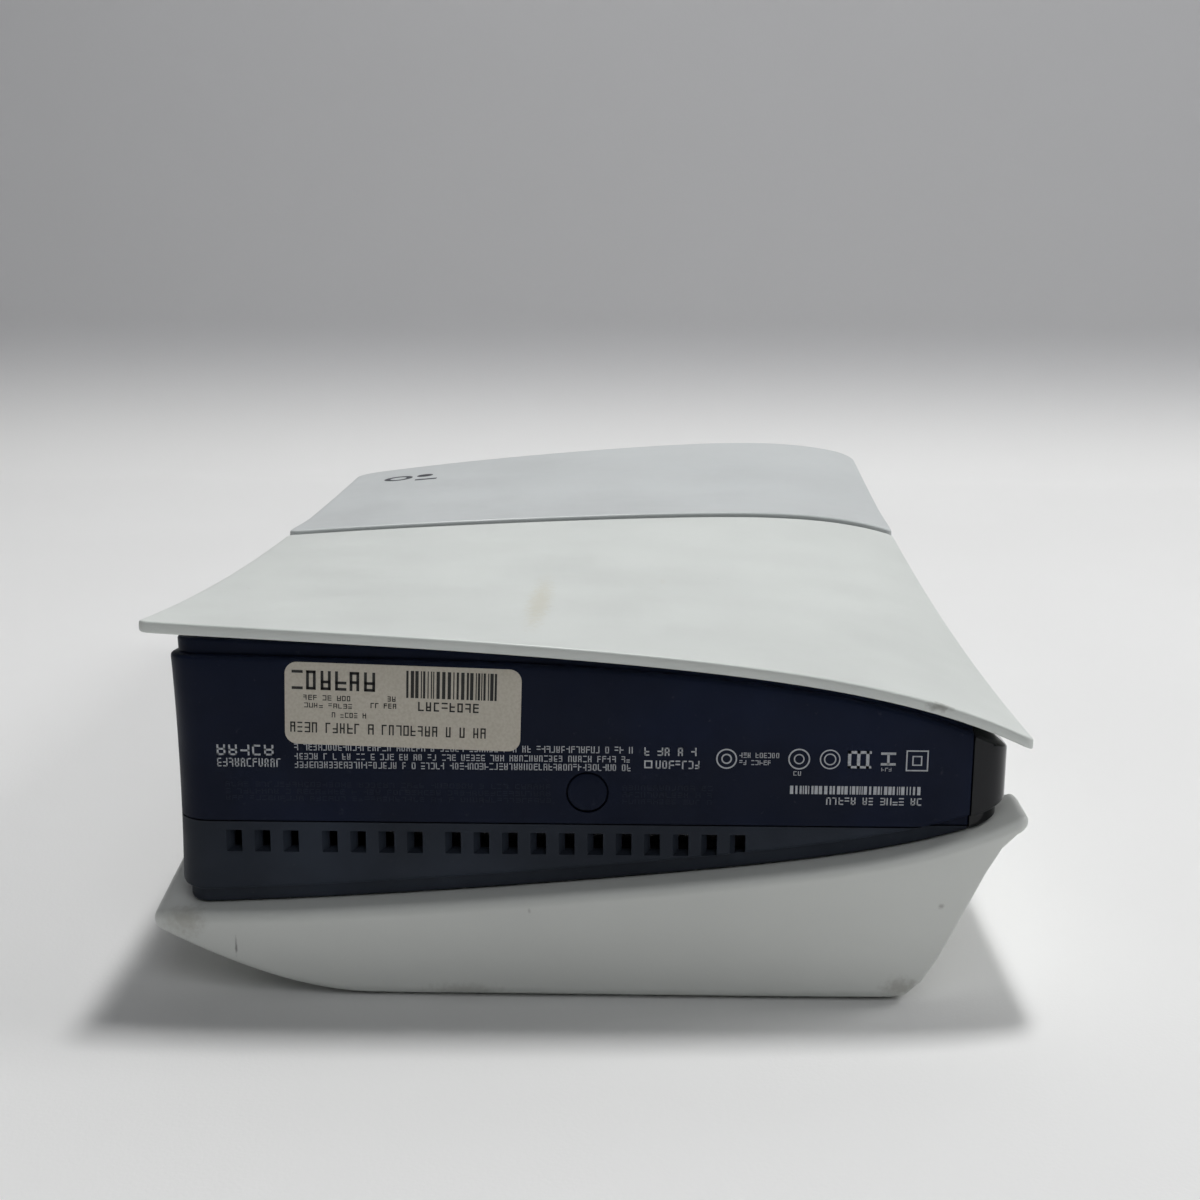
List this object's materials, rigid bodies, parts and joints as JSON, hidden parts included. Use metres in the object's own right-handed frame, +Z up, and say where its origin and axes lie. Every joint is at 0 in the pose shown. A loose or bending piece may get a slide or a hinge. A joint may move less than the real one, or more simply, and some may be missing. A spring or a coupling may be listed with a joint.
{
  "type": "game console",
  "caption": "Slim home game console lying flat: curved white cover panels around a black housing, with a slot-loading disc drive in a bulge underneath.",
  "frame": {"origin": "on the ground under the middle of the console as it lies flat on its pads", "axes": "+X from the stand end to the vent end, +Y from the front with the disc slot to the rear with the sockets, +Z up"},
  "size_m": [0.358, 0.216, 0.095],
  "materials": {
    "cover": "satin, very fine grain",
    "housing": "fine matte grain",
    "trim": "high gloss",
    "button": "satin",
    "rubber": "matte",
    "steel": "plain zinc-coated sheet",
    "board": "solder mask",
    "copper": "plain copper tube",
    "aluminium": "plain extruded",
    "supply_case": "black coated sheet",
    "brass": "turned"
  },
  "bodies": {
    "console_frame": {"lower_cover_main": "cover", "lower_cover_small": "cover", "upper_housing": "housing", "lower_housing": "housing", "front_trim": "trim", "usb_c_port_1": "steel", "usb_c_port_2": "steel", "mains_inlet": "housing", "lan_port": "steel", "hdmi_port": "steel", "usb_a_port_1": "steel", "usb_a_port_2": "steel", "exhaust_grille": "housing", "stand_thread_insert": "brass", "drive_chassis": "steel", "drive_lid": "steel", "disc_slot_bezel": "trim", "spindle_motor": "steel", "guide_rail_1": "steel", "guide_rail_2": "steel", "sled_motor": "steel", "motherboard": "board", "processor": "steel", "heatsink": "aluminium", "heat_pipe_1": "copper", "heat_pipe_2": "copper", "heat_pipe_3": "copper", "power_supply": "supply_case", "storage_module": "board", "storage_hatch": "housing", "hatch_screw": "steel", "coin_cell": "steel", "wireless_module": "steel", "shield_plate": "steel", "fan_shroud": "housing", "fan_motor": "steel", "fan_guard": "housing"},
    "upper_cover_main": {"upper_cover_main": "cover"},
    "upper_cover_small": {"upper_cover_small": "cover"},
    "power_button": {"power_button": "button"},
    "eject_button": {"eject_button": "button"},
    "stand_hole_cap": {"stand_hole_cap": "housing"},
    "fan_rotor": {"fan_rotor": "button"},
    "turntable": {"turntable": "button", "disc_clamp": "button"},
    "feed_roller": {"feed_roller": "rubber"},
    "laser_sled": {"laser_sled": "button"},
    "lead_screw": {"lead_screw": "brass"}
  },
  "joints": [
    {"name": "upper_cover_main_lift", "type": "slide", "parent": "console_frame", "child": "upper_cover_main", "axis": [0, 0, 1], "range_m": [0, 0.06]},
    {"name": "upper_cover_small_lift", "type": "slide", "parent": "console_frame", "child": "upper_cover_small", "axis": [0, 0, 1], "range_m": [0, 0.06]},
    {"name": "power_button_press", "type": "slide", "parent": "console_frame", "child": "power_button", "axis": [0, 1, 0], "range_m": [0, 0.0008], "stiffness_N_per_m": 500},
    {"name": "eject_button_press", "type": "slide", "parent": "console_frame", "child": "eject_button", "axis": [0, 1, 0], "range_m": [0, 0.0008], "stiffness_N_per_m": 500},
    {"name": "stand_hole_cap_pull", "type": "slide", "parent": "console_frame", "child": "stand_hole_cap", "axis": [-1, 0, 0], "range_m": [0, 0.012]},
    {"name": "fan_spin", "type": "hinge", "parent": "console_frame", "child": "fan_rotor", "pos_m": [0.095, 0, 0.058], "axis": [0, 0, 1], "continuous": true},
    {"name": "turntable_spin", "type": "hinge", "parent": "console_frame", "child": "turntable", "pos_m": [-0.083, -0.015, 0.045], "axis": [0, 0, 1], "continuous": true},
    {"name": "feed_roller_turn", "type": "hinge", "parent": "console_frame", "child": "feed_roller", "pos_m": [-0.083, -0.081, 0.0425], "axis": [1, 0, 0], "continuous": true},
    {"name": "lead_screw_turn", "type": "hinge", "parent": "console_frame", "child": "lead_screw", "pos_m": [-0.0435, -0.028, 0.0343], "axis": [1, 0, 0], "range_deg": [0, 4081]},
    {"name": "laser_sled_travel", "type": "slide", "parent": "console_frame", "child": "laser_sled", "axis": [1, 0, 0], "range_m": [0, 0.034]}
  ],
  "couplings": [
    {"joint": "lead_screw_turn", "follows": "laser_sled_travel", "rad_per_m": 2094.4}
  ]
}
